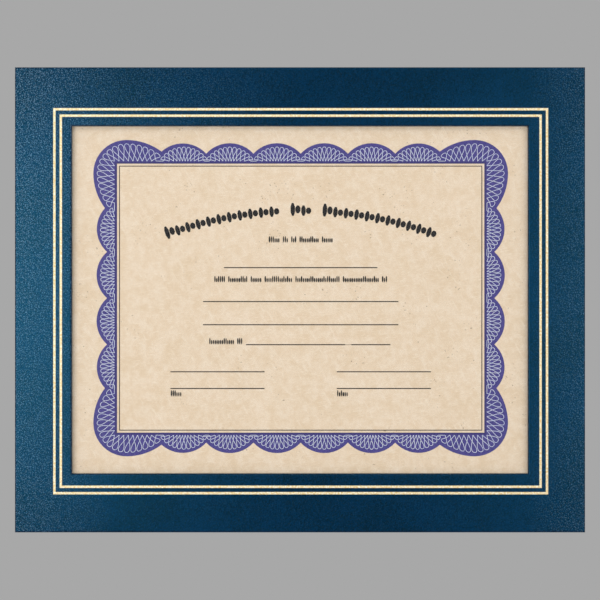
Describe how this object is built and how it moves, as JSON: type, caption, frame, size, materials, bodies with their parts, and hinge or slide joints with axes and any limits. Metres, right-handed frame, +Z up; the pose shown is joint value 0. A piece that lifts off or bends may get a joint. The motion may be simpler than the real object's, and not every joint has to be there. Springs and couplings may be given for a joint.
{
  "type": "certificate frame",
  "caption": "Landscape certificate frame in navy leatherette with gold foil lines, a clear window, a bordered certificate in a top-opening pocket, an easel back and a hanging ring.",
  "frame": {"origin": "middle of the frame's width and height, on the rear face of the folded easel leg, which meets the wall", "axes": "+Y into the wall, so the face looks along -Y; +X right seen from the front; +Z up"},
  "size_m": [0.3334, 0.0099, 0.272],
  "materials": {
    "leatherette": "satin grained leatherette",
    "gold_foil": "stamped gold foil",
    "chipboard": "bare grey board",
    "clear_film": "clear film",
    "parchment": "mottled parchment paper",
    "violet_ink": "matt print",
    "pale_ink": "matt print",
    "brown_ink": "matt print",
    "black_ink": "matt print",
    "black_paper": "black covering paper",
    "tin": "bent tin",
    "plated_wire": "plated wire"
  },
  "bodies": {
    "frame": {"front_covering": "leatherette", "foil_line_outer": "gold_foil", "foil_line_inner": "gold_foil", "front_board": "chipboard", "clear_window": "clear_film", "certificate": "parchment", "border_print": "violet_ink", "tracery_print": "pale_ink", "inner_rule_print": "brown_ink", "heading_print": "black_ink", "line_print_1": "black_ink", "line_print_2": "black_ink", "line_print_3": "black_ink", "label_print_left": "black_ink", "label_print_right": "black_ink", "blank_rule_1": "black_ink", "blank_rule_2": "black_ink", "blank_rule_3": "black_ink", "date_rule": "black_ink", "sign_rule_left_upper": "black_ink", "sign_rule_left_lower": "black_ink", "sign_rule_right_upper": "black_ink", "sign_rule_right_lower": "black_ink", "spacer_left": "chipboard", "spacer_right": "chipboard", "spacer_bottom": "chipboard", "back_board": "chipboard", "back_paper": "black_paper", "easel_leg": "black_paper", "hanger_clip": "tin"},
    "ring": {"hanging_ring": "plated_wire"}
  },
  "joints": [
    {"name": "ring_swing", "type": "hinge", "parent": "frame", "child": "ring", "pos_m": [0, -0.00133, 0.082], "axis": [1, 0, 0], "range_deg": [0, 180]}
  ]
}
